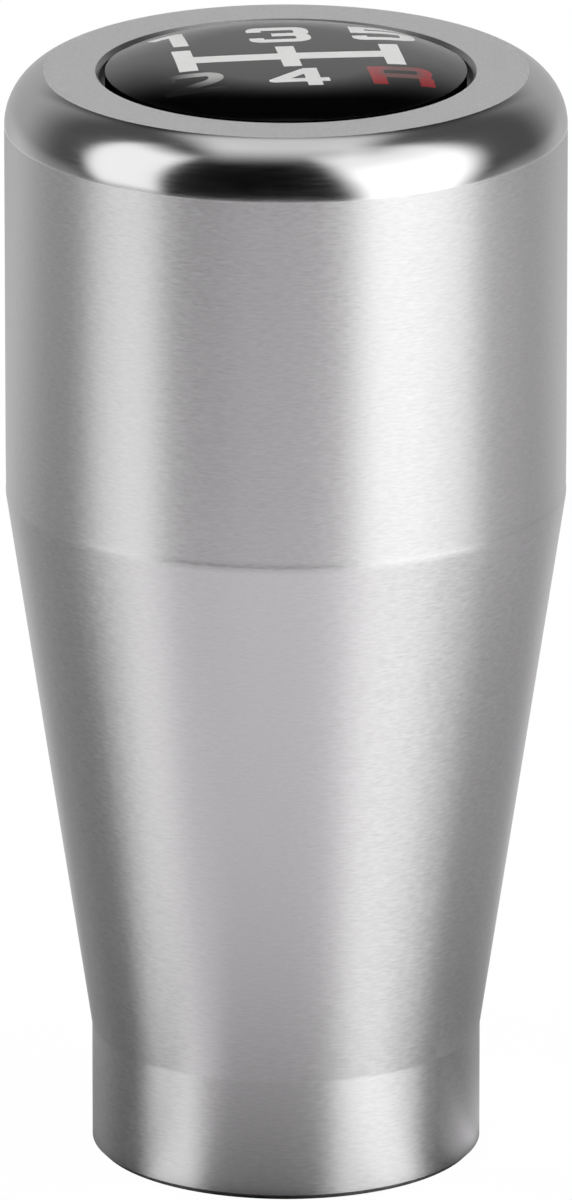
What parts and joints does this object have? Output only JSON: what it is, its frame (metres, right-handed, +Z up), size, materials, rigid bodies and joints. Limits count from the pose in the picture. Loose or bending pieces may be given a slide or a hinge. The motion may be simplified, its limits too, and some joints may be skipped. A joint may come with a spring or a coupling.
{
  "type": "gear shift knob",
  "caption": "Turned steel gear shift knob with a straight grip over a taper and collar, a polished round shoulder, a clear domed shift pattern emblem on top and a tapped hole below.",
  "frame": {"origin": "centre of the flat base, at the mouth of the lever's hole", "axes": "+Z up the knob's axis to the emblem, +X to the right of the printed pattern, +Y to its top"},
  "size_m": [0.038, 0.038, 0.0772],
  "materials": {
    "turned_steel": "satin turned sides, polished shoulder, matt turned crown",
    "printed_disc": "matt black with white and red print",
    "clear_resin": "clear, glossy"
  },
  "bodies": {
    "root": {"knob_body": "turned_steel", "emblem_disc": "printed_disc", "emblem_dome": "clear_resin"}
  },
  "joints": []
}
